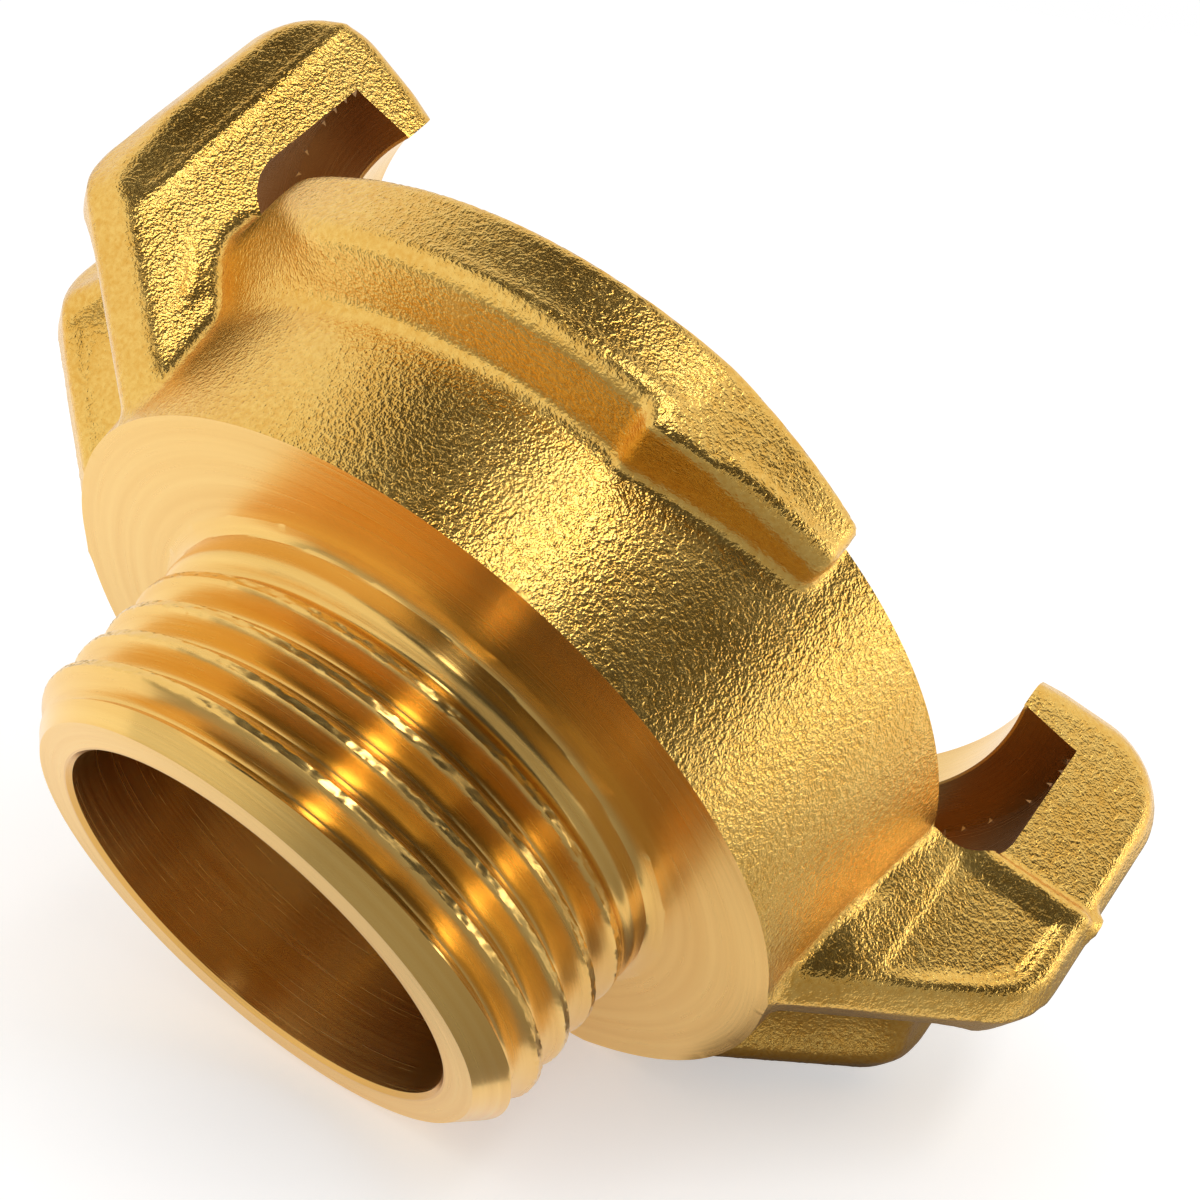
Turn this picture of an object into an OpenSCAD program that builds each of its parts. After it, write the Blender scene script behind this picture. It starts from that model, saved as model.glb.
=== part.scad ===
// Two-claw quick hose coupling half with a male pipe thread and a rubber face seal.
// It stands on the tips of its claws, with the thread pointing up. Millimetres.

/* [Thread spigot] */
// Crest diameter of the male pipe thread
thread_d = 26.44; // [20:0.01:34]
// Distance from the end face to the shoulder
spigot_len = 10.2; // [8:0.1:20]
// Length of the chamfer at the end of the thread
chamfer_len = 1.75; // [0.5:0.05:3]
// Outer diameter of the flat end face
end_face_d = 23.5; // [20:0.1:32]
// Diameter of the waterway
bore_d = 20.2; // [15:0.1:28]
// Diameter of the run-out groove behind the thread
neck_d = 24.9; // [20:0.1:32]
// Length of the run-out groove, with its fillet
neck_len = 1.6; // [1:0.1:4]

/* [Body] */
// Diameter of the turned shoulder disc
shoulder_d = 38.2; // [34:0.1:44]
// Diameter of the front rim, the forging draft makes it wider than the shoulder
rim_d = 41.2; // [36:0.1:46]
// Distance from the end face of the thread to the front face
front_z = 21.1; // [17:0.1:28]
// Radius of the edge between the shoulder and the body side
shoulder_round = 0.6; // [0.2:0.1:1.5]

/* [Flange segments] */
// Diameter over the two flange segments
flange_d = 46.8; // [42:0.1:52]
// Thickness of a flange segment next to its claw
flange_t = 3.75; // [2:0.1:6]
// Thickness of a flange segment just past its step
flange_step_t = 4.55; // [2:0.1:7]
// Thickness of a flange segment at its free end
flange_end_t = 3.3; // [2:0.1:6]
// Angle from the middle of the claw to the step
flange_step_a = 84.5; // [60:0.5:95]
// Angle from the middle of the claw to the free end
flange_end_a = 107.5; // [90:0.5:120]
// Distance that the free end is set in from the full diameter
flange_set_in = 1.2; // [0:0.1:2.5]

/* [Claws] */
// Radius of the outer back of a claw
claw_r = 27.9; // [25:0.05:32]
// Diameter of the turned wall inside the claws
claw_wall_d = 47.2; // [43:0.1:52]
// Diameter between the two lips
lip_d = 41.1; // [36:0.1:44]
// Distance from the thread end to the rear face of the lips
lip_z = 29.8; // [26:0.05:34]
// Distance from the thread end to the tips of the claws
claw_z = 33.9; // [28:0.05:38]
// Distance that the inner edge of a lip lies behind the tip
lip_lean = 1.3; // [0:0.05:2]
// Half of the width of a claw at its inner wall
claw_half_w = 7.7; // [6:0.05:12]
// Half of the width of a claw at its outer back
claw_back_half_w = 6.3; // [5:0.05:10]
// Width of the bevel between the back and the side of a claw
claw_bevel = 1.3; // [0.5:0.1:3]
// Distance that the foot plate on one side stands proud of the side of the claw
plate_out = 0.45; // [0.1:0.05:1]
// Distance that the foot plate stands proud of the foot and the back of the claw
plate_rise = 0.35; // [0.1:0.05:1]
// Distance from the front face to the outer end of the foot plate's edge
plate_end = 2.8; // [1:0.1:5]
// Radius of the corner between the sloping foot and the back
foot_round = 4.3; // [1:0.1:8]
// Radius of the corner between the back and the tip
tip_round = 4.2; // [1:0.1:8]
// Slope of the foot, measured from the axis of the coupling
foot_slope = 52.4; // [35:0.1:70]
// Radius of the hollow along the back of a claw
scoop_r = 7.5; // [5:0.1:12]
// Depth of the hollow along the back of a claw
scoop_depth = 2.1; // [0.5:0.1:4]
// Radius of the hollow in the foot of a claw
foot_scoop_r = 5.8; // [4:0.1:10]
// Depth of the hollow in the foot of a claw
foot_scoop_depth = 3.4; // [0.5:0.1:6]

/* [Face seal] */
// Diameter of the mouth that the seal's nose passes through
mouth_d = 29.2; // [26:0.1:34]
// Diameter of the undercut groove that holds the seal
groove_d = 32.6; // [30:0.1:36]
// Depth of the seal seat behind the front face
seat_depth = 6.6; // [4:0.1:10]
// Length of the undercut groove
groove_len = 3.6; // [2:0.1:6]
// Distance that the seal stands out of the front face
seal_out = 2.8; // [1:0.1:4]
// Inner diameter of the seal
seal_bore_d = 21.4; // [16:0.1:26]
// Clearance of the seal in its seat
seal_gap = 0.1; // [0.05:0.05:0.5]

/* [Hidden] */
$fn = 120;
eps = 0.01;
thread_r = thread_d / 2;
bore_r = bore_d / 2;
shoulder_r = shoulder_d / 2;
rim_r = rim_d / 2;
flange_r = flange_d / 2;
wall_r = claw_wall_d / 2;
lip_r = lip_d / 2;
body_grow = (rim_r - shoulder_r) / (front_z - spigot_len);
seat_z = front_z - seat_depth;
groove_z = front_z - seat_depth + 1.2;
foot_x0 = shoulder_r - 1.5;
foot_run = (claw_r - foot_x0) / tan(foot_slope);
foot_z1 = spigot_len + foot_run;
root_x = flange_r * cos(24);
root_y = flange_r * sin(24);

coupling_body();
face_seal();

// Turns the part over, so that the thread points up and the claw tips are at height 0.
module stand() {
    translate([0, 0, claw_z]) rotate([180, 0, 0]) children();
}

module coupling_body() {
    color([0.83, 0.64, 0.22]) stand() difference() {
        union() {
            turned_blank();
            for (side = [0, 180]) rotate([0, 0, side]) {
                flange_segment();
                claw();
            }
        }
        inner_space();
    }
}

module face_seal() {
    color([0.06, 0.06, 0.06]) stand() rotate_extrude() seal_profile();
}

// Spigot, shoulder and tapered body as one turned shape.
module turned_blank() {
    neck_r = neck_d / 2;
    rotate_extrude() difference() {
        union() {
            polygon([
                [0, 0],
                [end_face_d / 2, 0],
                [thread_r, chamfer_len],
                [thread_r, spigot_len - neck_len - (thread_r - neck_r)],
                [neck_r, spigot_len - neck_len],
                [neck_r, spigot_len],
                [shoulder_r - shoulder_round, spigot_len],
                [shoulder_r, spigot_len + shoulder_round],
                [rim_r, front_z],
                [0, front_z]
            ]);
            neck_fillet();
            translate([shoulder_r - shoulder_round, spigot_len + shoulder_round])
                circle(r = shoulder_round);
        }
    }
}

// Hollow corner between the run-out groove and the shoulder.
module neck_fillet() {
    fillet = 1.1;
    neck_r = neck_d / 2;
    translate([neck_r - eps, spigot_len - fillet]) difference() {
        square([fillet + eps, fillet + eps]);
        translate([fillet + eps, 0]) circle(r = fillet);
    }
}

// Everything that is turned out of the forging: waterway, seal seat, and the room between the claws.
module inner_space() {
    bore = bore_r;
    rotate_extrude() union() {
        translate([0, -1]) square([bore, front_z + 2]);
        translate([0, seat_z]) square([mouth_d / 2, seat_depth + 1]);
        translate([0, groove_z]) square([groove_d / 2, groove_len]);
        polygon([
            [0, front_z],
            [rim_r, front_z],
            [wall_r, front_z + wall_r - rim_r],
            [wall_r, lip_z],
            [lip_r, lip_z],
            [lip_r, claw_z + 1],
            [0, claw_z + 1]
        ]);
    }
}

// One stepped flange segment, from the side of the claw at angle 0 to its free end.
module flange_segment() {
    difference() {
        union() {
            arc_band(front_z - flange_t, flange_t, 8, flange_step_a);
            difference() {
                arc_band(front_z - flange_step_t, flange_step_t, flange_step_a, flange_end_a);
                ramp_cut();
            }
        }
        translate([0, 0, front_z - flange_t - 2]) cylinder(r = rim_r - 2, h = flange_t + 4);
    }
}

// Ring sector of the flange between two angles, from z0 upwards. Past the step it narrows a little.
module arc_band(z0, h, a0, a1) {
    big = 2 * flange_r;
    mid_a = (flange_step_a + flange_end_a) / 2;
    step_p = [flange_r * cos(flange_step_a), flange_r * sin(flange_step_a)];
    mid_p = [cos(mid_a), sin(mid_a)] * (flange_r - 0.62 * flange_set_in);
    end_p = [cos(flange_end_a), sin(flange_end_a)] * (flange_r - flange_set_in);
    translate([0, 0, z0]) linear_extrude(height = h) difference() {
        intersection() {
            circle(r = flange_r);
            polygon([
                [0, 0],
                [big * cos(a0), big * sin(a0)],
                [big * cos((a0 + a1) / 2), big * sin((a0 + a1) / 2)],
                [big * cos(a1), big * sin(a1)]
            ]);
        }
        polygon([
            step_p,
            mid_p,
            end_p,
            end_p + (end_p - mid_p),
            [end_p[0] * 2, big],
            [step_p[0], big]
        ]);
    }
}

// Sloping cut under the flange past its step, where the lip of the other half rides up.
module ramp_cut() {
    span = flange_r * PI * (flange_end_a - flange_step_a) / 180;
    slope = atan((flange_step_t - flange_end_t) / span);
    rotate([0, 0, flange_step_a + 1]) translate([0, 0, front_z - flange_step_t])
        rotate([slope, 0, 0]) translate([0, -5, -10]) cube([40, 40, 10]);
}

// One claw on the side of +X, with its hollow back. Its inner wall and lip are turned later.
module claw() {
    difference() {
        intersection() {
            claw_side_shape();
            union() {
                claw_plan_shape();
                flange_root();
                foot_root();
            }
        }
        for (side = [0, 1]) mirror([0, side, 0]) claw_bevels();
        claw_scoop();
    }
    difference() {
        foot_plate();
        claw_scoop();
    }
}

// Outline of the claw seen from its side, carried across its width.
module claw_side_shape() {
    translate([0, 20, 0]) rotate([90, 0, 0]) linear_extrude(height = 40) difference() {
        polygon([
            [foot_x0 - 4, spigot_len],
            [foot_x0, spigot_len],
            [claw_r, foot_z1],
            [claw_r, claw_z],
            [claw_r - tip_round, claw_z],
            [lip_r, claw_z - lip_lean],
            [lip_r - 3, claw_z - 1.5 * lip_lean],
            [lip_r - 3, front_z - 4],
            [foot_x0 - 4, front_z - 4]
        ]);
        foot_corner();
        tip_corner();
    }
}

// Waste outside the round corner between the foot and the back.
module foot_corner() {
    half = (180 - foot_slope) / 2;
    run = foot_round / tan(half);
    cx = claw_r - foot_round;
    cz = foot_z1 + run;
    difference() {
        polygon([
            [claw_r + 1, cz],
            [cx, cz],
            [claw_r - run * sin(foot_slope), foot_z1 - run * cos(foot_slope)],
            [claw_r + 1, foot_z1 - 3]
        ]);
        translate([cx, cz]) circle(r = foot_round);
    }
}

// Waste outside the round corner between the back and the tip.
module tip_corner() {
    difference() {
        translate([claw_r - tip_round, claw_z - tip_round]) square(tip_round + 1);
        translate([claw_r - tip_round, claw_z - tip_round]) circle(r = tip_round);
    }
}

// Outline of the claw seen along the axis, a little wider at its inner wall.
module claw_plan_shape() {
    back_w = claw_half_w - 0.4;
    translate([0, 0, spigot_len]) linear_extrude(height = claw_z) polygon([
        [8, -claw_half_w],
        [wall_r - 2, -claw_half_w],
        [claw_r + 1, -back_w],
        [claw_r + 1, back_w],
        [wall_r - 2, claw_half_w],
        [8, claw_half_w]
    ]);
}

// Where the claw widens into the flange segment on its +Y side, in front of the flange and behind it.
module flange_root() {
    intersection() {
        translate([0, 0, spigot_len]) linear_extrude(height = 20) polygon([
            [12, 0],
            [claw_r, 0],
            [claw_r, claw_back_half_w + 0.5],
            [wall_r + 0.2, claw_half_w - 0.1],
            [root_x, root_y],
            [rim_r * cos(27) - 0.5, rim_r * sin(27) - 0.2],
            [12, 7]
        ]);
        translate([40, 0, 0]) rotate([0, -90, 0]) linear_extrude(height = 40) polygon([
            [spigot_len + 1.2, 0],
            [spigot_len + 1.7, 7.3],
            [spigot_len + 4.9, 8],
            [front_z - flange_t - 0.7, 9.2],
            [front_z - flange_t - 0.4, root_y + 0.2],
            [front_z, root_y + 0.2],
            [front_z + 0.8, root_y - 0.2],
            [front_z + 1.8, root_y - 0.7],
            [front_z + 3.0, root_y - 1.2],
            [front_z + 4.2, claw_half_w],
            [front_z + 4.2, 0]
        ]);
    }
}

// Thicker plate on the -Y side of the foot. It ends in front at a straight edge across the claw.
module foot_plate() {
    face_y = -claw_half_w - plate_out;
    difference() {
        intersection() {
            translate([plate_rise, 0, 0]) claw_side_shape();
            translate([0, 0, spigot_len]) linear_extrude(height = 20) polygon([
                [16, -claw_back_half_w + 1.5],
                [claw_r + 1, -claw_back_half_w + 1.5],
                [claw_r + 1, face_y + 0.4],
                [20, face_y],
                [16, face_y]
            ]);
            plate_outline();
        }
        mirror([0, 1, 0]) translate([plate_rise, plate_out, 0]) claw_bevels();
    }
}

// Side outline that ends the foot plate and the foot's root in front.
module plate_outline() {
    translate([0, 20, 0]) rotate([90, 0, 0]) linear_extrude(height = 40) polygon([
        [12, spigot_len],
        [claw_r + 1, spigot_len],
        [claw_r + 1, front_z + plate_end],
        [12, front_z - 0.6]
    ]);
}

// Where the foot of the claw widens towards the body on its -Y side.
module foot_root() {
    intersection() {
        translate([0, 0, spigot_len]) linear_extrude(height = 20) polygon([
            [12, 0],
            [20.4, 0],
            [20.4, -claw_half_w - plate_out + 0.1],
            [17.6, -10],
            [12, -8]
        ]);
        translate([40, 0, 0]) rotate([0, -90, 0]) linear_extrude(height = 40) polygon([
            [spigot_len + 1.2, 0],
            [spigot_len + 1.7, -7.1],
            [spigot_len + 4.4, -8.2],
            [spigot_len + 6.6, -9.2],
            [spigot_len + 9.2, -10],
            [front_z + 8, -10],
            [front_z + 8, 0]
        ]);
        plate_outline();
    }
}

// Bevels on one long edge of the claw: foot, foot corner, back and tip corner.
module claw_bevels() {
    turn = foot_slope / 2;
    run = foot_round / tan((180 - foot_slope) / 2);
    bevel(foot_x0, spigot_len, foot_slope);
    bevel(claw_r - foot_round + foot_round * cos(turn), foot_z1 + run - foot_round * sin(turn), turn);
    bevel(claw_r, foot_z1, 0);
    bevel(claw_r - tip_round * (1 - cos(45)), claw_z - tip_round * (1 - sin(45)), -45);
}

// Cuts away what lies outside a plane through the edge at (x, z). The edge leans by slope from the axis.
module bevel(x, z, slope) {
    drop = claw_half_w - 0.4 - claw_back_half_w;
    translate([x, claw_back_half_w, z]) rotate([0, slope, 0]) rotate([0, 0, atan2(claw_bevel, drop)])
        translate([0, -30, -40]) cube([20, 60, 80]);
}

// Hollow along the back of the claw, deeper in its foot.
module claw_scoop() {
    top_z = lip_z - 4;
    translate([claw_r - scoop_depth + scoop_r, 0, foot_z1 - 1]) cylinder(r = scoop_r, h = top_z - foot_z1 + 1);
    translate([claw_r - scoop_depth + scoop_r, 0, top_z]) sphere(r = scoop_r);
    translate([foot_x0, 0, spigot_len]) rotate([0, foot_slope, 0]) {
        translate([foot_scoop_r - foot_scoop_depth, 0, -12]) cylinder(r = foot_scoop_r, h = 20);
        translate([foot_scoop_r - foot_scoop_depth, 0, 8]) sphere(r = foot_scoop_r);
    }
}

// Half section of the seal: a bead in the groove and a nose in front, with a shallow groove in its face.
module seal_profile() {
    bead_r = groove_d / 2 - seal_gap;
    nose_r = mouth_d / 2 - seal_gap;
    top = front_z + seal_out;
    in_r = seal_bore_d / 2;
    difference() {
        union() {
            translate([in_r, seat_z + eps]) square([nose_r - in_r, seat_depth - eps]);
            translate([in_r, groove_z + seal_gap]) square([bead_r - in_r, groove_len - 2 * seal_gap]);
            polygon([
                [in_r, front_z - 1],
                [nose_r, front_z - 1],
                [nose_r, front_z],
                [nose_r - 0.9, top],
                [in_r + 0.6, top],
                [in_r, top - 0.8]
            ]);
        }
        translate([(in_r + nose_r) / 2, top + 0.5]) circle(r = 1.2);
    }
}
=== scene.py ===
import bpy
import numpy as np
from mathutils import Matrix


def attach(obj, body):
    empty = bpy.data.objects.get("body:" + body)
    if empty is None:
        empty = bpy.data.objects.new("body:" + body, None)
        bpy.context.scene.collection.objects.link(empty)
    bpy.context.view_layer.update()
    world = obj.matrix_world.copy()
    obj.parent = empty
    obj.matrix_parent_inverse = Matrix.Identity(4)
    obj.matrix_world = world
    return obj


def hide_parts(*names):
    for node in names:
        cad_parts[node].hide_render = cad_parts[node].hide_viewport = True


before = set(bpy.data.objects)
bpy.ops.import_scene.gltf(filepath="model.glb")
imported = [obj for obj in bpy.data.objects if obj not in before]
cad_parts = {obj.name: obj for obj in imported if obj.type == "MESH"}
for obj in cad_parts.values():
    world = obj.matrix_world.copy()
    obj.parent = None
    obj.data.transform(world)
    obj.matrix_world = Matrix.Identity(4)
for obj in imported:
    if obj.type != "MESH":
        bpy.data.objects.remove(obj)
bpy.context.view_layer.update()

# Sizes in millimetres. Heights run from the thread's end face towards the claws, as in the part's source. The
# finished meshes are turned over at the end: the thread points up and the claw tips are at zero.
TIP_Z = 33.9
SHOULDER_Z = 10.2
FRONT_Z = 21.1

# The body widens from the shoulder to the rim at its front face.
SHOULDER_R = 19.1
RIM_R = 20.6
BODY_FILLET = 0.45

# The flange segments. Angles are in degrees from the middle of the segment's claw.
FLANGE_R = 23.2
FLANGE_REAR_Z = 16.8
FLANGE_ROOT_R = 20.3
STEP_ANGLE = 85
RAMP_Z = 16.45
RAMP_RISE = 0.088
FREE_END_ANGLE = 109.5

# The claws, seen from the side: the wall and lip turned inside them, the back, and the foot's slope.
WALL_R = 23.6
LIP_R = 20.55
LIP_Z = 29.8
CLAW_R = 27.9
FOOT_SLOPE = 52.4
FOOT_X0 = 17.6
FOOT_RADIUS = 4.3
TIP_RADIUS = 4.0
LIP_SETBACK = 1.3

# The claws' half widths: the side towards the flange segment, and the other side's arm and foot plate.
FLANGE_SIDE_Y = 7.6
ARM_Y = 7.5
PLATE_Y = 8.15

# Fine forms on the claws: the depths of the sunk areas, the heights of the raised lines, and how much the sides
# lean per mm. The plate ends on a slanting line through a point beside the window.
FOOT_SUNK_DEPTH = 0.12
PANEL_DEPTH = 0.2
CREASE_HEIGHT = 0.09
CREASE_X = 24.45
CREASE_Z = 18.4
ARM_LEAN = 0.28
PLATE_LEAN = 0.045
PLATE_END_X = 18.9
PLATE_END_Z = 22.15
PLATE_END_RISE = 0.2
PLATE_BEAD_HEIGHT = 0.16
PLATE_OVERHANG = 0.3
NUB_PLACE = (27.45, 6.6, 23.8)
NUB_R = 0.8

# The hollow of a claw's back: a groove along the back, and one along the foot.
BACK_GROOVE_X = 33.3
BACK_GROOVE_R = 7.5
BACK_GROOVE_END_Z = 25.8
FOOT_GROOVE_OUT = 2.4
FOOT_GROOVE_R = 5.8
FOOT_GROOVE_START = 8

# The turned inside, with the seal's groove.
BORE_R = 10.1
MOUTH_R = 14.6
GROOVE_R = 16.3
SEAT_Z = 14.5
GROOVE_START_Z = SEAT_Z + 1.2
GROOVE_END_Z = SEAT_Z + 4.8

# The thread, its end face and the neck where it runs out.
THREAD_R = 13.22
NECK_R = 12.75
END_FACE_R = 11.76
PITCH = 1.814
THREAD_ROOT = 1.16
CREST_HALF = 0.19
TORN_DEPTH = 0.05
RUN_OUT_Z = 7.5
RUN_OUT = 1.7
NECK_FILLET = 1.3

# The forging's surface is sampled this finely, so that its smallest fillets keep their shape, in a box with some
# room around the forging.
GRID_STEP = 0.285
GRID_LOW = (-28.9, -24.4, 9.6)
GRID_HIGH = (28.9, 24.4, 34.6)

# As shares of the grid's step: how near to both surfaces a point lies on their edge, the longest way to an edge,
# the longest move in one turn, and how near to a corner a point lies on it.
EDGE_NEAR = 0.9
EDGE_WAY = 1.2
LONGEST_MOVE = 0.8
CORNER_NEAR = 0.62

# The camera in metres, in the row frame, and the point between the part's ends that the lamps face.
CAMERA_PLACE = (-0.000574, -0.082032, 0.056807)
CAMERA_RIGHT = (-0.737516, -0.336477, -0.585536)
CAMERA_UP = (0.675243, -0.353586, -0.64732)
CAMERA_BACK = (0.010771, -0.872789, 0.487979)
CAMERA_LENS = 59.512
PART_MIDDLE = np.array([0, 0, 0.017])

# The part lies on its thread's rim, one claw and one flange segment, so the floor goes through those three.
FLOOR_NORMAL = np.array([0.5362169, -0.66922734, -0.51439888])
FLOOR_POINT = np.array([-0.026, 0.0073, 0.0173])


def to_row_frame(points):
    """Points in mm from the thread's end, to metres in the row frame: (x, -y, tip height - z) / 1000."""
    out = points * np.array([1.0, -1.0, -1.0])
    out[:, 2] += TIP_Z
    return out / 1000.0


def mesh_object(name, points, faces, materials, indices=None, sharp=None):
    """A piece from arrays: points (n, 3) in mm and faces, a list of index arrays with 3 or 4 columns."""
    mesh = bpy.data.meshes.new(name)
    verts = to_row_frame(points)
    loops = np.concatenate([f.ravel() for f in faces])
    sizes = np.concatenate([np.full(len(f), f.shape[1]) for f in faces])
    starts = np.concatenate([[0], np.cumsum(sizes)[:-1]])
    mesh.vertices.add(len(verts))
    mesh.vertices.foreach_set("co", verts.astype(np.float32).ravel())
    mesh.loops.add(len(loops))
    mesh.loops.foreach_set("vertex_index", loops.astype(np.int32))
    mesh.polygons.add(len(sizes))
    mesh.polygons.foreach_set("loop_start", starts.astype(np.int32))
    for m in materials:
        mesh.materials.append(m)
    if indices is not None:
        mesh.polygons.foreach_set("material_index", indices.astype(np.int32))
    mesh.update(calc_edges=True)
    mesh.validate()
    mesh.shade_smooth()
    if sharp is not None:
        mesh.set_sharp_from_angle(angle=np.radians(sharp))
    obj = bpy.data.objects.new(name, mesh)
    bpy.context.scene.collection.objects.link(obj)
    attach(obj, "root")
    return obj


# Distance fields. A field is negative inside the metal and positive outside, in mm.


def join_round(a, b, radius):
    """Union with a hollow fillet of that radius: max(radius, min(a, b)) less the length of the vector
    (radius - a, radius - b), each part of it at least 0."""
    u = np.maximum(radius - a, 0)
    v = np.maximum(radius - b, 0)
    return np.maximum(radius, np.minimum(a, b)) - np.sqrt(u * u + v * v)


def cross_round(a, b, radius):
    """Intersection whose edge is rounded with that radius, the opposite of join_round."""
    return -join_round(-a, -b, radius)


def ease(t):
    """0 below 0, 1 above 1 and 3 t^2 - 2 t^3 between."""
    t = np.clip(t, 0, 1)
    return t * t * (3 - 2 * t)


def outline_distance(u, v, corners):
    """Signed distance from (u, v) to a closed outline: the least distance to its sides, negative inside."""
    corners = np.asarray(corners, np.float32)
    best = None
    inside = None
    for a, b in zip(corners, np.roll(corners, -1, axis=0)):
        eu, ev = b - a
        pu = u - a[0]
        pv = v - a[1]
        t = np.clip((pu * eu + pv * ev) / (eu * eu + ev * ev), 0, 1)
        d = (pu - eu * t) ** 2 + (pv - ev * t) ** 2
        best = d if best is None else np.minimum(best, d)
        crosses = ((a[1] > v) != (b[1] > v)) & ((pu * ev < pv * eu) == (ev > 0))
        inside = crosses if inside is None else inside ^ crosses
    return np.where(inside, -1, 1) * np.sqrt(best)


def corner_arc(corner, before, after, radius, steps=15):
    """Points of the arc of that radius that rounds a corner between the points before and after it."""
    c, p, n = (np.array(q, float) for q in (corner, before, after))
    d0 = (p - c) / np.linalg.norm(p - c)
    d1 = (n - c) / np.linalg.norm(n - c)
    half = np.arccos(np.clip(d0 @ d1, -1, 1)) / 2
    middle = c + (d0 + d1) / np.linalg.norm(d0 + d1) * radius / np.sin(half)
    start = c + d0 * radius / np.tan(half) - middle
    end = c + d1 * radius / np.tan(half) - middle
    t = np.linspace(0, 1, steps)[:, None]
    blend = start * (1 - t) + end * t
    return middle + blend / np.linalg.norm(blend, axis=1)[:, None] * radius


FOOT_RUN = (CLAW_R - FOOT_X0) / np.tan(np.radians(FOOT_SLOPE))
FOOT_START = (FOOT_X0, SHOULDER_Z)
FOOT_CORNER = (CLAW_R, SHOULDER_Z + FOOT_RUN)
TIP_CORNER = (CLAW_R, TIP_Z)
LIP_CORNER = (LIP_R, TIP_Z - LIP_SETBACK)
# The outline starts a little past the shoulder, where the lathe cuts the foot off, and ends inside the body.
PAST_SHOULDER = 1.54
SIDE_OUTLINE = np.concatenate([
    [(FOOT_X0 - PAST_SHOULDER * np.tan(np.radians(FOOT_SLOPE)), SHOULDER_Z - PAST_SHOULDER)],
    corner_arc(FOOT_CORNER, FOOT_START, TIP_CORNER, FOOT_RADIUS),
    corner_arc(TIP_CORNER, FOOT_CORNER, LIP_CORNER, TIP_RADIUS),
    [LIP_CORNER, (LIP_R - 3, TIP_Z - 2.2), (LIP_R - 3, FRONT_Z - 4), (FOOT_X0 - 6, FRONT_Z - 4)],
])
# The sunk areas on the claw's two sides, in (x, z).
FOOT_SUNK = [(19.6, 17.2), (23.0, 19.6), (19.25, 13.8)]
PLATE_SUNK = [(20.35, 13.9), (20.3, 21.3), (26.2, 22.4), (26.0, 19.0), (25.0, 17.6), (22.3, 15.3)]


def hinge(t, soft):
    """0 for low t and t for high t, rounded over the given length: (t + root of (t^2 + soft^2)) / 2."""
    return (t + np.sqrt(t * t + soft * soft)) / 2


def bevelled(face, outline, drop, width, edge):
    """A side face crossed with the bevel along its outline: the bevel starts at that width inside the outline
    and drops that far at it. The edges between are rounded."""
    bevel = (face + drop * (1 + outline / width)) / np.sqrt(1 + (drop / width) ** 2)
    return cross_round(cross_round(face, bevel, 0.32), outline, edge)


def flange_side(x, y, z, outline):
    """The claw's side towards its flange segment: flat, with a shallow sunk triangle on the foot. Past a
    crease along the arm it leans in towards the back."""
    crease = CREASE_X + 0.05 * (z - CREASE_Z)
    sunk = FOOT_SUNK_DEPTH * ease(-outline_distance(x, z, FOOT_SUNK) / 0.8)
    past = ease((z - 16.8) / 2.5)
    ridge = CREASE_HEIGHT * past * np.exp(-((x - crease) / 0.28) ** 2)
    face = y - FLANGE_SIDE_Y + sunk - ridge + ARM_LEAN * past * hinge(x - crease, 0.2)
    width = 1.3 - 0.5 * ease((z - 20) / 3)
    return bevelled(face, outline, 1.25, width, 0.2)


def plate_side(x, y, z, outline):
    """The claw's other side: the flat arm and, over the foot, a thicker plate with a sunk panel. The plate
    ends in a raised bead, a wedge widens its root towards the body, and a small nub sits on the back's edge."""
    arm = bevelled(y - ARM_Y, outline, 1.1, 1.0, 0.2)
    bead = (z - PLATE_END_Z - PLATE_END_RISE * (x - PLATE_END_X)) / 1.02
    sunk = PANEL_DEPTH * ease(-outline_distance(x, z, PLATE_SUNK) / 0.45)
    ridge = PLATE_BEAD_HEIGHT * np.exp(-((bead + 0.5) / 0.42) ** 2)
    wide = outline - PLATE_OVERHANG
    face = y - PLATE_Y + PLATE_LEAN * (x - 20) + sunk - ridge
    plate = cross_round(bevelled(face, wide, 1.4, 1.3, 0.3), bead, 0.45)
    wedge = cross_round(y - PLATE_Y - 0.25 * (20.4 - x), y - 8.25 - 0.3 * (z - 12.5), 0.4)
    root = cross_round(bevelled(wedge, wide, 1.4, 1.3, 0.3), bead, 0.45)
    plate = join_round(plate, root, 0.3)
    nub = np.sqrt((x - NUB_PLACE[0]) ** 2 + (z - NUB_PLACE[2]) ** 2 + (y - NUB_PLACE[1]) ** 2) - NUB_R
    return join_round(join_round(arm, plate, 0.25), nub, 0.3)


def claw_hollow(x, y, z):
    """The room scooped out of the claw's back and foot: a round groove along the back, closed by a ball end
    near the tip, joined to a deeper groove along the foot's slope."""
    beyond = np.maximum(z - BACK_GROOVE_END_Z, 0)
    back = np.sqrt((x - BACK_GROOVE_X) ** 2 + y * y + beyond ** 2) - BACK_GROOVE_R
    s, c = np.sin(np.radians(FOOT_SLOPE)), np.cos(np.radians(FOOT_SLOPE))
    along = (x - FOOT_X0) * s + (z - SHOULDER_Z) * c
    out = (x - FOOT_X0) * c - (z - SHOULDER_Z) * s
    past = np.maximum(along - FOOT_GROOVE_START, 0)
    foot = np.sqrt((out - FOOT_GROOVE_OUT) ** 2 + y * y + past ** 2) - FOOT_GROOVE_R
    return join_round(back, foot, 1.0)


def claw_field(x, y, z):
    """One claw at angle 0: its side outline in (x, z) between its two side faces, less its hollow."""
    outline = outline_distance(x, z, SIDE_OUTLINE)
    near = flange_side(x, y, z, outline)
    far = plate_side(x, -y, z, outline)
    return cross_round(np.maximum(near, far), -claw_hollow(x, y, z), 0.4)


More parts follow.
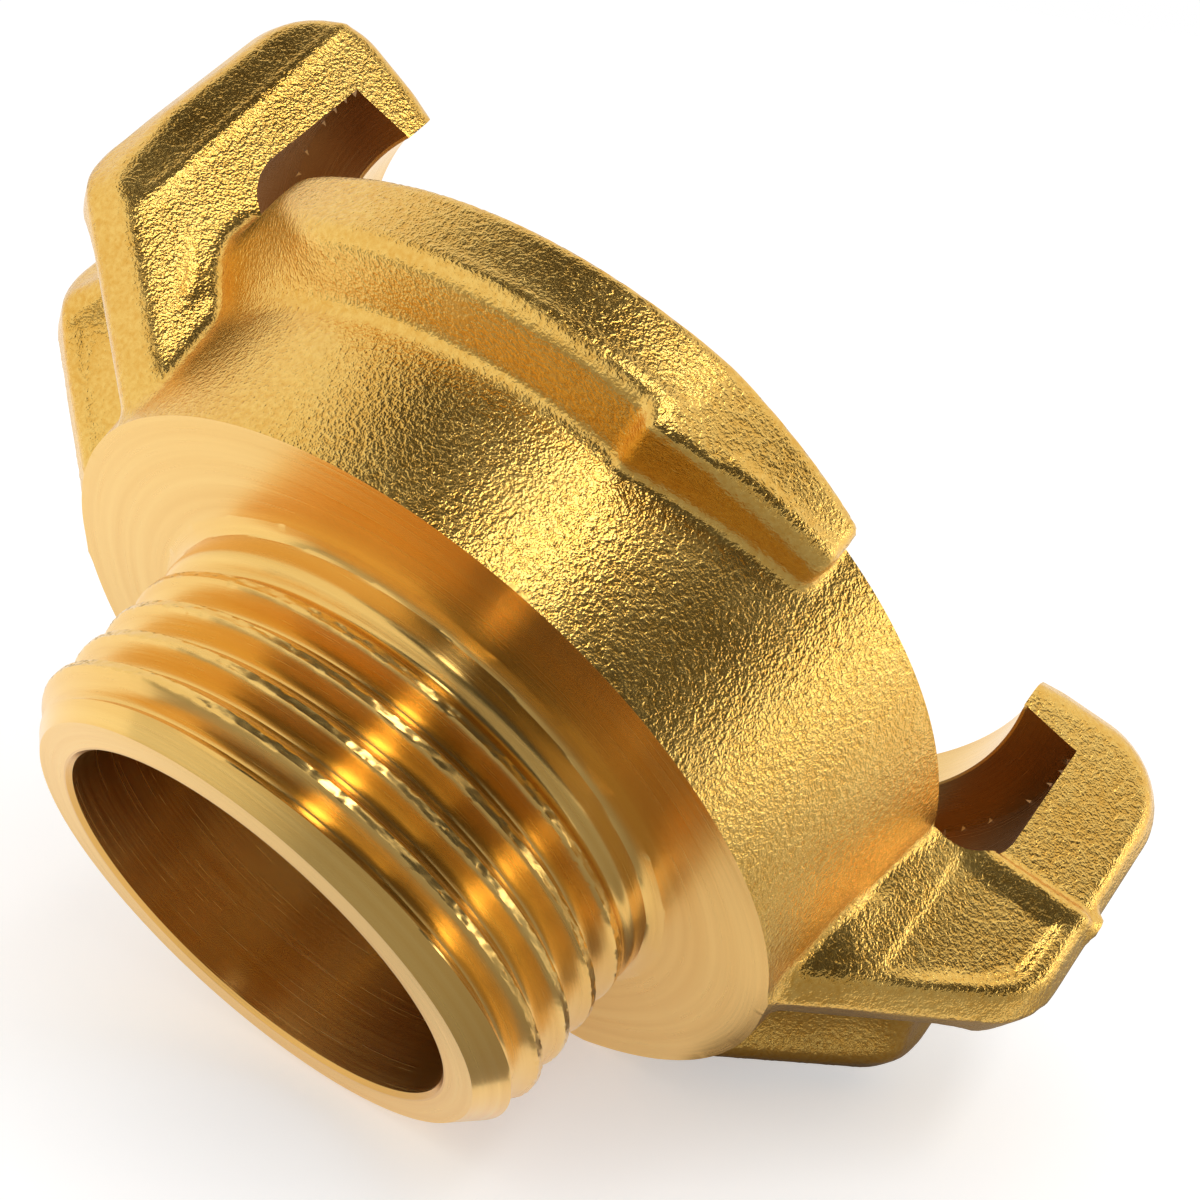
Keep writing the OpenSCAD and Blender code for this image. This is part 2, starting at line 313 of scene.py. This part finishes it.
def flange_field(r, angle, z):
    """One flange segment, a band that thins towards its free end. Its rear face is flat up to the step, and a
    ramp past it. The outer rear edge is rounded, and stands a little proud as a bead before the step and near
    the end."""
    out = r - FLANGE_ROOT_R
    plain = FLANGE_REAR_Z + (0.2 + 1.0 * ease((46 - angle) / 20)) * out
    ramp = RAMP_Z + RAMP_RISE * (angle - STEP_ANGLE) + 0.03 * out
    past = ease((angle - (STEP_ANGLE - 0.8)) / 2.2)
    late = ease((angle - 93.2) / 1.2)
    rear = plain * (1 - past) + ramp * past
    outer = FLANGE_R - 0.055 * np.clip(angle - 88, 0, 30) - 1.1 * ease((36 - angle) / 14)
    first = (1 - ease((angle - 86.8) / 1.2)) * ease((angle - 50) / 20) * np.exp(-((z - 18.0) / 0.4) ** 2)
    second = late * np.exp(-((z - ramp - 0.75) / 0.4) ** 2)
    edge = 0.65 - 0.3 * past + 0.4 * late
    band = cross_round(r - outer - 0.1 * (first + second), rear - z, edge)
    band = cross_round(band, z - FRONT_Z, 0.25)
    end = (angle - FREE_END_ANGLE + 0.6 * out) * np.pi / 180 * r
    band = cross_round(band, end, 0.5)
    return np.maximum(band, -angle * np.pi / 180 * r)


def unit_field(x, y, z):
    """One claw with its flange segment, joined with a fillet."""
    r = np.sqrt(x * x + y * y)
    angle = np.degrees(np.arctan2(y, x))
    return join_round(claw_field(x, y, z), flange_field(r, angle, z), BODY_FILLET)


def forged_field(x, y, z):
    """The whole forging before turning: tapered body and two claws with their segments, half a turn apart."""
    r = np.sqrt(x * x + y * y)
    grow = (RIM_R - SHOULDER_R) / (FRONT_Z - SHOULDER_Z)
    body = np.maximum(r - SHOULDER_R - grow * (z - SHOULDER_Z), z - FRONT_Z - 0.6)
    units = np.minimum(unit_field(x, y, z), unit_field(-x, -y, z))
    return join_round(units, body, BODY_FILLET)


TURNED_CORNERS = np.array([
    (BORE_R, SEAT_Z), (MOUTH_R, SEAT_Z), (MOUTH_R, GROOVE_START_Z), (GROOVE_R, GROOVE_START_Z),
    (GROOVE_R, GROOVE_END_Z), (MOUTH_R, GROOVE_END_Z), (MOUTH_R, FRONT_Z), (RIM_R, FRONT_Z), (WALL_R, LIP_Z),
    (LIP_R, LIP_Z),
])
# The cut runs in a quarter circle from the front face to the wall inside the claws. It is closed beyond the
# axis and the claw tips, where there is no metal.
TURNED_PROFILE = np.concatenate([
    [(-1, 5), (BORE_R, 5)],
    TURNED_CORNERS[:8],
    corner_arc((WALL_R, FRONT_Z), (RIM_R, FRONT_Z), (WALL_R, LIP_Z), WALL_R - RIM_R)[1:],
    TURNED_CORNERS[8:],
    [(LIP_R, TIP_Z + 2), (-1, TIP_Z + 2)],
])


def turned_field(x, y, z):
    """What the lathe leaves: everything outside the revolved inner profile and above the shoulder's plane."""
    r = np.sqrt(x * x + y * y)
    inner = outline_distance(r, z, TURNED_PROFILE)
    return -np.minimum(inner, z - SHOULDER_Z)


def weld(points, quads, places):
    """Makes points that agree to that many decimal places one point, and gives the faces that keep 4 corners
    and those that keep 3."""
    unique, first, which = np.unique(np.round(points, places), axis=0, return_index=True, return_inverse=True)
    quads = which.ravel()[quads]
    double = quads == np.roll(quads, -1, 1)
    whole = quads[~double.any(1)]
    single = double.sum(1) == 1
    triangles = quads[single][~double[single]].reshape(-1, 3)
    crossed = (whole[:, 0] == whole[:, 2]) | (whole[:, 1] == whole[:, 3])
    return points[first], [whole[~crossed], triangles]


def surface_net(field, lows, highs, step):
    """Quads on the zero surface of a field sampled on a grid. Each cell that the surface crosses gets one
    point, the mean of the crossings on its edges. Each grid edge that it crosses gets the quad of its cells."""
    axes = [np.arange(lo, hi + step, step, dtype=np.float32) for lo, hi in zip(lows, highs)]
    values = field(axes[0][:, None, None], axes[1][None, :, None], axes[2][None, None, :])
    inside = values < 0
    shape = np.array(values.shape)
    cells = shape - 1
    stride = np.array([cells[1] * cells[2], cells[2], 1])
    ids, sums, quads = [], [], []
    for axis in range(3):
        first = [slice(None)] * 3
        second = [slice(None)] * 3
        first[axis] = slice(0, -1)
        second[axis] = slice(1, None)
        a_in = inside[tuple(first)]
        crossing = np.argwhere(a_in != inside[tuple(second)])
        v0 = values[tuple(first)][tuple(crossing.T)]
        v1 = values[tuple(second)][tuple(crossing.T)]
        at = crossing.astype(np.float64)
        at[:, axis] += v0 / (v0 - v1)
        o1, o2 = [k for k in range(3) if k != axis]
        around = []
        for d1, d2 in ((0, 0), (1, 0), (1, 1), (0, 1)):
            cell = crossing.copy()
            cell[:, o1] -= d1
            cell[:, o2] -= d2
            around.append(cell @ stride)
            ids.append(cell @ stride)
            sums.append(at)
        quad = np.stack(around, 1)
        flip = a_in[tuple(crossing.T)] == (axis == 1)
        quad[flip] = quad[flip][:, ::-1]
        quads.append(quad)
    ids = np.concatenate(ids)
    sums = np.concatenate(sums)
    used, which = np.unique(ids, return_inverse=True)
    count = np.bincount(which)
    points = np.stack([np.bincount(which, sums[:, k]) / count for k in range(3)], 1)
    points = points * step + np.array([a[0] for a in axes])
    return points, np.searchsorted(used, np.concatenate(quads))


def gradient(field, p, d=0.02):
    """Central differences of a field at points p."""
    g = np.empty_like(p)
    for k in range(3):
        e = np.zeros(3)
        e[k] = d
        g[:, k] = (field(*(p + e).T) - field(*(p - e).T)) / (2 * d)
    return g


def settle(points, step):
    """Moves each point onto the nearer of the forged and the turned surface, or onto both where it lies near
    their edge, and onto the corners of the turned profile, so that turned edges stay crisp."""
    for _ in range(6):
        a = forged_field(*points.T)
        b = turned_field(*points.T)
        ga = gradient(forged_field, points)
        gb = gradient(turned_field, points)
        ga_n = ga / np.maximum((ga * ga).sum(1), 1e-6)[:, None]
        gb_n = gb / np.maximum((gb * gb).sum(1), 1e-6)[:, None]
        one = np.where((a > b)[:, None], ga_n * a[:, None], gb_n * b[:, None])
        aa = (ga * ga).sum(1)
        bb = (gb * gb).sum(1)
        ab = (ga * gb).sum(1)
        det = aa * bb - ab * ab
        ok = (det > 0.02) & (np.abs(a) < EDGE_NEAR * step) & (np.abs(b) < EDGE_NEAR * step)
        det = np.where(ok, det, 1)
        la = (a * bb - b * ab) / det
        lb = (b * aa - a * ab) / det
        both = ga * la[:, None] + gb * lb[:, None]
        length = np.linalg.norm(both, axis=1)
        ok &= length < EDGE_WAY * step
        move = np.where(ok[:, None], both, one)
        size = np.linalg.norm(move, axis=1)[:, None]
        points = points - move * np.minimum(1, LONGEST_MOVE * step / np.maximum(size, 1e-9))
    r = np.hypot(points[:, 0], points[:, 1])
    corners = TURNED_CORNERS
    gap = np.hypot(r[:, None] - corners[:, 0], points[:, 2:3] - corners[:, 1])
    near = gap.argmin(1)
    close = gap.min(1) < CORNER_NEAR * step
    scale = np.where(close, corners[near, 0] / r, 1)
    points[:, :2] *= scale[:, None]
    points[:, 2] = np.where(close, corners[near, 1], points[:, 2])
    return points


def forging(materials):
    """The forged body as one closed surface. Faces on turned surfaces take the turned finish."""

    def both(x, y, z):
        return np.maximum(forged_field(x, y, z), turned_field(x, y, z))

    points, quads = surface_net(both, GRID_LOW, GRID_HIGH, GRID_STEP)
    points = settle(points, GRID_STEP)
    points, faces = weld(points, quads, 2)
    middle = np.concatenate([points[f].mean(1) for f in faces])
    turned = forged_field(*middle.T) < turned_field(*middle.T)
    return mesh_object("forged_body", points, faces, materials, turned.astype(int), 38)


def thread_depth(turn):
    """Depth below the crest of a pipe thread, for a place from 0 to 1 along one pitch, with the crest at 0.
    The flanks lean 27.5 degrees, the crest is flat, and the flank is softened towards the round root."""
    across = np.abs((turn + 0.5) % 1 - 0.5) * PITCH
    flank = (across - CREST_HALF) / np.tan(np.radians(27.5))
    soft = 0.1
    return np.clip(THREAD_ROOT - soft * np.log1p(np.exp((THREAD_ROOT - flank) / soft)), 0, THREAD_ROOT)


def closed_rings(rings):
    """Quads between rings of equal point counts, given as rows of vertex numbers, and closed around."""
    a, d = rings[:-1], rings[1:]
    b, c = np.roll(a, -1, 1), np.roll(d, -1, 1)
    return np.stack([a, b, c, d], -1).reshape(-1, 4)


def spigot(materials):
    """The threaded spigot as a closed ring. Its outside is a grid whose rows follow the right-hand helix:
    z = pitch (row / rows per turn + angle / full turn), radius = crest - depth of the thread, never more than
    the chamfer's cone, with the thread fading out before the shoulder and a hollow fillet at its root."""
    columns = 400
    turn_rows = 24
    theta = np.linspace(0, 2 * np.pi, columns, endpoint=False)
    k = np.arange(-turn_rows, turn_rows * (int(SHOULDER_Z / PITCH) + 2))
    z = PITCH * (k[:, None] / turn_rows + theta / (2 * np.pi))
    top = SHOULDER_Z + 0.02
    fade = 1 - ease((z - RUN_OUT_Z) / RUN_OUT)
    depth = thread_depth(k / turn_rows)[:, None]
    r = THREAD_R - depth * fade
    # The die tears the crests a little, at random.
    torn = np.random.default_rng(5).random((len(k), columns)) ** 3
    r = r - TORN_DEPTH * torn * np.exp(-(depth / 0.1) ** 2) * fade
    rise = np.clip(z - (SHOULDER_Z - NECK_FILLET), 0, NECK_FILLET)
    neck = NECK_R + NECK_FILLET - np.sqrt(NECK_FILLET ** 2 - rise ** 2)
    r = np.where(rise > 0, np.maximum(r, neck), r)
    z = np.clip(z, 0, top)
    r = np.minimum(r, END_FACE_R + z)
    points = np.stack([r * np.cos(theta), r * np.sin(theta), z], -1).reshape(-1, 3)
    rows = len(k)
    grid = np.arange(rows * columns).reshape(rows, columns)
    inner = np.stack([grid[:-1, :-1], grid[:-1, 1:], grid[1:, 1:], grid[1:, :-1]], -1).reshape(-1, 4)
    low, high = grid[:-turn_rows, -1], grid[turn_rows:, 0]
    seam = np.stack([low[:-1], high[:-1], high[1:], low[1:]], 1)
    # The inside: end face, small chamfer, bore and hidden top.
    profile = [(END_FACE_R, 0), (BORE_R + 0.2, 0), (BORE_R, 0.2), (BORE_R, 5), (BORE_R, SHOULDER_Z - 0.1),
               (BORE_R + 0.1, top), (NECK_R + NECK_FILLET, top)]
    rings = np.array([np.stack([p[0] * np.cos(theta), p[0] * np.sin(theta), np.full(columns, p[1])], 1)
                      for p in profile])
    numbers = len(points) + np.arange(len(profile) * columns).reshape(len(profile), columns)
    body = np.concatenate([points, rings.reshape(-1, 3)])
    faces = np.concatenate([inner, seam, closed_rings(numbers)[:, ::-1]])
    # Rows that were clipped to the end face and to the shoulder fall together and are welded.
    body, faces = weld(body, faces, 5)
    return mesh_object("threaded_spigot", body, faces, materials, None, 30)


def camera_at(location, right, up, back, lens):
    data = bpy.data.cameras.new("camera")
    data.lens = lens
    data.sensor_width = 36
    data.clip_start = 0.005
    data.clip_end = 10
    camera = bpy.data.objects.new("camera", data)
    bpy.context.scene.collection.objects.link(camera)
    camera.matrix_world = Matrix([
        (right[0], up[0], back[0], location[0]),
        (right[1], up[1], back[1], location[1]),
        (right[2], up[2], back[2], location[2]),
        (0, 0, 0, 1),
    ])
    bpy.context.scene.camera = camera


def linear(hex_text):
    """sRGB hex text to a linear RGBA tuple."""
    values = [int(hex_text[i:i + 2], 16) / 255 for i in (0, 2, 4)]
    return tuple(v / 12.92 if v <= 0.04045 else ((v + 0.055) / 1.055) ** 2.4 for v in values) + (1.0,)


def add(tree, kind, inputs=None, **settings):
    """Adds a node with its settings, and sets or links its inputs by name or number."""
    node = tree.nodes.new(kind)
    for key, value in settings.items():
        setattr(node, key, value)
    for key, value in (inputs or {}).items():
        if isinstance(value, bpy.types.NodeSocket):
            tree.links.new(value, node.inputs[key])
        else:
            node.inputs[key].default_value = value
    return node


def new_material(name):
    """An empty material with its output and a mapping of Object coordinates to millimetres."""
    material = bpy.data.materials.new(name)
    material.use_nodes = True
    tree = material.node_tree
    tree.nodes.clear()
    place = add(tree, "ShaderNodeTexCoord").outputs["Object"]
    mm = add(tree, "ShaderNodeMapping", {"Vector": place, "Scale": (1000, 1000, 1000)}).outputs["Vector"]
    output = add(tree, "ShaderNodeOutputMaterial")
    return material, tree, mm, output


def blasted_forged_brass(name):
    """Hot-forged brass, shot-blasted and tumbled: a warm yellow skin of shallow pebbles, painted paler on their
    tops and deeper in their hollows as painted highlight and shade.
    """
    material, tree, mm, output = new_material(name)
    # Pebbles 0.25 mm across and grit of 0.12 mm: the real grit is finer, and drawn as coarse as it shows.
    pebbles = add(tree, "ShaderNodeTexNoise", {"Vector": mm, "Scale": 4.2, "Detail": 1.5, "Roughness": 0.55,
                                               "Distortion": 0.25}).outputs["Fac"]
    grit = add(tree, "ShaderNodeTexNoise", {"Vector": mm, "Scale": 9.5, "Detail": 1.0}).outputs["Fac"]
    height = add(tree, "ShaderNodeMath", {0: grit, 1: 0.6, 2: pebbles}, operation="MULTIPLY_ADD").outputs[0]
    normal = add(tree, "ShaderNodeBump", {"Height": height, "Distance": 0.00004,
                                          "Strength": 1.0}).outputs["Normal"]
    # Cloudy patches a few mm wide, from redder to paler yellow, and painted shade: the pebbles' hollows are a
    # little deeper in colour and their tops paler.
    clouds = add(tree, "ShaderNodeTexNoise", {"Vector": mm, "Scale": 0.22, "Detail": 2.0}).outputs["Fac"]
    # The clouds give the metal's own tone; the pebbles add painted shade in their hollows and painted highlight
    # on their tops.
    tone_and_painted_shade = add(tree, "ShaderNodeMath", {0: clouds, 1: 0.6, 2: pebbles}, operation="MULTIPLY_ADD").outputs[0]
    ramp = add(tree, "ShaderNodeValToRGB", {"Fac": tone_and_painted_shade})
    ramp.color_ramp.elements[0].position = 0.55
    ramp.color_ramp.elements[0].color = linear("E4AE4E")
    ramp.color_ramp.elements[1].position = 1.05
    ramp.color_ramp.elements[1].color = linear("F2C66A")
    rough = add(tree, "ShaderNodeMapRange", {"Value": clouds, "From Min": 0.3, "From Max": 0.7, "To Min": 0.2,
                                             "To Max": 0.28}).outputs["Result"]
    shader = add(tree, "ShaderNodeBsdfPrincipled", {"Base Color": ramp.outputs["Color"], "Metallic": 1.0,
                                                    "Roughness": rough, "Normal": normal})
    tree.links.new(shader.outputs[0], output.inputs["Surface"])
    return material


def turned_brass(name):
    """Brass cut on a lathe: redder and brighter than the skin, with fine rings that spread each light into a
    streak across them."""
    material, tree, mm, output = new_material(name)
    flat = add(tree, "ShaderNodeVectorMath", {0: mm, 1: (1, 1, 0)}, operation="MULTIPLY").outputs["Vector"]
    radius = add(tree, "ShaderNodeVectorMath", {0: flat}, operation="LENGTH").outputs["Value"]
    height = add(tree, "ShaderNodeSeparateXYZ", {"Vector": mm}).outputs["Z"]
    ring = add(tree, "ShaderNodeCombineXYZ", {"X": radius, "Y": height}).outputs["Vector"]
    slow = add(tree, "ShaderNodeVectorMath", {0: mm, 1: (0.02, 0.02, 0.0)},
               operation="MULTIPLY").outputs["Vector"]
    ring = add(tree, "ShaderNodeVectorMath", {0: ring, 1: slow}, operation="ADD").outputs["Vector"]
    # Tool marks every 0.1 mm, and broader bands where the feed changed.
    fine = add(tree, "ShaderNodeTexNoise", {"Vector": ring, "Scale": 9.0, "Detail": 2.0}).outputs["Fac"]
    bands = add(tree, "ShaderNodeTexNoise", {"Vector": ring, "Scale": 1.6, "Detail": 2.0}).outputs["Fac"]
    normal = add(tree, "ShaderNodeBump", {"Height": fine, "Distance": 0.000004,
                                          "Strength": 1.0}).outputs["Normal"]
    around = add(tree, "ShaderNodeVectorMath", {0: (0, 0, 1), 1: mm},
                 operation="CROSS_PRODUCT").outputs["Vector"]
    around = add(tree, "ShaderNodeVectorMath", {0: around}, operation="NORMALIZE").outputs["Vector"]
    ramp = add(tree, "ShaderNodeValToRGB", {"Fac": bands})
    ramp.color_ramp.elements[0].position = 0.3
    ramp.color_ramp.elements[0].color = linear("EDBE68")
    ramp.color_ramp.elements[1].position = 0.7
    ramp.color_ramp.elements[1].color = linear("F4CA76")
    # Painted shade: the bore is painted a little deeper in colour than the faces, and the walls inside the claws
    # are painted brown for the shade that falls under the claws' lips.
    inside = add(tree, "ShaderNodeMath", {0: radius, 1: 10.4}, operation="LESS_THAN").outputs[0]
    tone_and_painted_shade = add(tree, "ShaderNodeMix", {"Factor": inside, 6: ramp.outputs["Color"], 7: linear("E6B564")},
               data_type="RGBA").outputs[2]
    # Painted shade under the claws' lips: the turned walls there are painted brown.
    painted_claw_wall_shade = add(tree, "ShaderNodeMath", {0: radius, 1: 20.7}, operation="GREATER_THAN").outputs[0]
    tone_and_painted_shade = add(tree, "ShaderNodeMix", {"Factor": painted_claw_wall_shade, 6: tone_and_painted_shade, 7: linear("9B6F38")},
               data_type="RGBA").outputs[2]
    rough = add(tree, "ShaderNodeMapRange", {"Value": fine, "From Min": 0.3, "From Max": 0.7, "To Min": 0.2,
                                             "To Max": 0.28}).outputs["Result"]
    shader = add(tree, "ShaderNodeBsdfPrincipled", {"Base Color": tone_and_painted_shade, "Metallic": 1.0,
                                                    "Roughness": rough, "Anisotropic": 0.85,
                                                    "Anisotropic Rotation": 0.25, "Tangent": around,
                                                    "Normal": normal})
    tree.links.new(shader.outputs[0], output.inputs["Surface"])
    return material


def moulded_rubber(name):
    """Nitrile rubber pressed in a mould: near black, with a faint dusty bloom and a dull satin shine."""
    material, tree, mm, output = new_material(name)
    bloom = add(tree, "ShaderNodeTexNoise", {"Vector": mm, "Scale": 0.5, "Detail": 4.0}).outputs["Fac"]
    grain = add(tree, "ShaderNodeTexNoise", {"Vector": mm, "Scale": 6.0, "Detail": 2.0}).outputs["Fac"]
    ramp = add(tree, "ShaderNodeValToRGB", {"Fac": bloom})
    ramp.color_ramp.elements[0].position = 0.35
    ramp.color_ramp.elements[0].color = linear("1B1B1C")
    ramp.color_ramp.elements[1].position = 0.75
    ramp.color_ramp.elements[1].color = linear("2B2B2C")
    rough = add(tree, "ShaderNodeMapRange", {"Value": grain, "To Min": 0.5, "To Max": 0.75}).outputs["Result"]
    normal = add(tree, "ShaderNodeBump", {"Height": grain, "Distance": 0.00002,
                                          "Strength": 1.0}).outputs["Normal"]
    shader = add(tree, "ShaderNodeBsdfPrincipled", {"Base Color": ramp.outputs["Color"], "Roughness": rough,
                                                    "Normal": normal})
    tree.links.new(shader.outputs[0], output.inputs["Surface"])
    return material


def seen_directly(tree):
    """1 on rays from the camera, from a reflection or through glass, 0 on rays that light a matt surface."""
    path = add(tree, "ShaderNodeLightPath")
    seen = add(tree, "ShaderNodeMath", {0: path.outputs["Is Camera Ray"], 1: path.outputs["Is Glossy Ray"]},
               operation="MAXIMUM").outputs[0]
    return add(tree, "ShaderNodeMath", {0: seen, 1: path.outputs["Is Transmission Ray"]},
               operation="MAXIMUM").outputs[0]


def stage_shader(name, colour, glow):
    """A diffuse material for the studio. The glow is added only where the camera or a reflection sees it, and
    the back of it is clear, so that the views from below look through the floor."""
    material = bpy.data.materials.new(name)
    material.use_nodes = True
    tree = material.node_tree
    tree.nodes.clear()
    strength = add(tree, "ShaderNodeMath", {0: seen_directly(tree), 1: glow}, operation="MULTIPLY").outputs[0]
    light = add(tree, "ShaderNodeEmission", {"Strength": strength}).outputs[0]
    matt = add(tree, "ShaderNodeBsdfDiffuse", {"Color": linear(colour)}).outputs[0]
    both = add(tree, "ShaderNodeAddShader", {0: matt, 1: light}).outputs[0]
    clear = add(tree, "ShaderNodeBsdfTransparent").outputs[0]
    back = add(tree, "ShaderNodeNewGeometry").outputs["Backfacing"]
    final = add(tree, "ShaderNodeMixShader", {0: back, 1: both, 2: clear}).outputs[0]
    add(tree, "ShaderNodeOutputMaterial", {"Surface": final})
    return material


def camera_direction(right, up, back):
    """A direction given in the camera's own axes, as a unit vector in the row frame."""
    axes = np.array([CAMERA_RIGHT, CAMERA_UP, CAMERA_BACK])
    v = np.array([right, up, back]) @ axes
    return v / np.linalg.norm(v)


def facing(normal, right):
    """The turn whose Z axis is the normal and whose X axis is as near as can be to the given one."""
    z = np.array(normal)
    x = np.array(right) - z * (np.array(right) @ z)
    x /= np.linalg.norm(x)
    y = np.cross(z, x)
    return Matrix([(x[0], y[0], z[0]), (x[1], y[1], z[1]), (x[2], y[2], z[2])])


def softbox(name, direction, distance, width, height, watts):
    """A rectangular lamp that faces the part from that direction, with its height along the part's axis."""
    data = bpy.data.lights.new(name, "AREA")
    data.shape = "RECTANGLE"
    data.size = width
    data.size_y = height
    data.energy = watts
    lamp = bpy.data.objects.new(name, data)
    bpy.context.scene.collection.objects.link(lamp)
    away = camera_direction(*direction)
    turn = facing(away, np.cross((0, 0, 1), away))
    lamp.matrix_world = Matrix.Translation(tuple(away * distance + PART_MIDDLE)) @ turn.to_4x4()


def stage_plane(name, middle, normal, right, width, height, material, on=None):
    """A flat rectangle of the studio, with its place in its mesh. With on, its middle first drops along the
    normal to the plane through that point."""
    if on is not None:
        middle = middle - np.array(normal) * ((middle - on) @ normal)
    turn = np.array(facing(normal, right))
    corners = np.array([(-width, -height, 0), (width, -height, 0), (width, height, 0),
                        (-width, height, 0)]) / 2
    mesh = bpy.data.meshes.new(name)
    mesh.from_pydata((corners @ turn.T + np.array(middle)).tolist(), [], [(0, 1, 2, 3)])
    mesh.materials.append(material)
    obj = bpy.data.objects.new(name, mesh)
    bpy.context.scene.collection.objects.link(obj)
    return obj


def hide_from_light(card):
    """Leaves a card only to reflections: neither the camera nor the light on part and floor sees it."""
    card.visible_camera = False
    card.visible_diffuse = False
    card.visible_shadow = False


def black_flag(name, direction, distance, width, height, material):
    """A dark card that only shows in the metal, as a photographer sets one to draw its edges."""
    away = camera_direction(*direction)
    card = stage_plane(name, away * distance + PART_MIDDLE, -away, CAMERA_RIGHT, width, height, material)
    hide_from_light(card)


forged_skin = blasted_forged_brass("blasted_forged_brass")
turned = turned_brass("turned_brass")
body = forging([forged_skin, turned])
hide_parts("coupling_body")
thread = spigot([turned])
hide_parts("coupling_body")

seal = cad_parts["face_seal"]
seal.data.materials.clear()
seal.data.materials.append(moulded_rubber("moulded_rubber"))

camera_at(CAMERA_PLACE, CAMERA_RIGHT, CAMERA_UP, CAMERA_BACK, CAMERA_LENS)

white_floor = stage_shader("white_floor", "E0E0E0", 0.42)
stage_plane("floor", FLOOR_POINT - FLOOR_NORMAL * 0.0002, FLOOR_NORMAL, CAMERA_RIGHT, 3, 3, white_floor)

softbox("key_softbox", (0.33, 0.62, 0.71), 0.45, 0.07, 0.34, 0.42)
softbox("side_softbox", (0.98, -0.09, 0.16), 0.45, 0.07, 0.2, 0.16)
grey_card = stage_shader("grey_card", "545454", 0.0)
black_flag("camera_flag", (0.25, 0.10, 0.95), 0.6, 0.9, 0.8, grey_card)
black_flag("upper_flag", (0.12, 0.92, 0.38), 0.6, 0.6, 0.56, grey_card)
black_flag("right_flag", (0.88, -0.20, 0.42), 0.6, 0.5, 0.7, grey_card)
# Two paler ones lie on the floor, under the part's right side and in front, for the faces that look down. The
# one under the right side is a painted shadow: it stands for the part's shadow on the floor, as the metal
# reflects it.
pale_card = stage_shader("pale_card", "A8A8A8", 0.0)
on_floor = FLOOR_POINT + 0.0006 * FLOOR_NORMAL
# Painted shadow: a grey card where the part's shadow lies on the floor, seen only in reflections.
low = stage_plane("painted_shadow_flag", PART_MIDDLE + 0.045 * camera_direction(0.7, -0.5, -0.5), FLOOR_NORMAL,
                  CAMERA_RIGHT, 0.05, 0.05, pale_card, on_floor)
hide_from_light(low)
front = stage_plane("front_flag", PART_MIDDLE + 0.15 * np.array(CAMERA_BACK), FLOOR_NORMAL,
                    CAMERA_RIGHT, 0.3, 0.25, pale_card, on_floor + 0.0002 * FLOOR_NORMAL)
hide_from_light(front)

# The world is white where the camera or a reflection sees it, and a little lower as light.
world = bpy.data.worlds.new("world")
bpy.context.scene.world = world
world.use_nodes = True
tree = world.node_tree
tree.nodes.clear()
strength = add(tree, "ShaderNodeMapRange", {"Value": seen_directly(tree), "To Min": 0.8,
                                            "To Max": 1.0}).outputs["Result"]
sky = add(tree, "ShaderNodeBackground", {"Color": (1, 1, 1, 1), "Strength": strength}).outputs[0]
add(tree, "ShaderNodeOutputWorld", {"Surface": sky})
bpy.context.scene.view_settings.view_transform = "Standard"
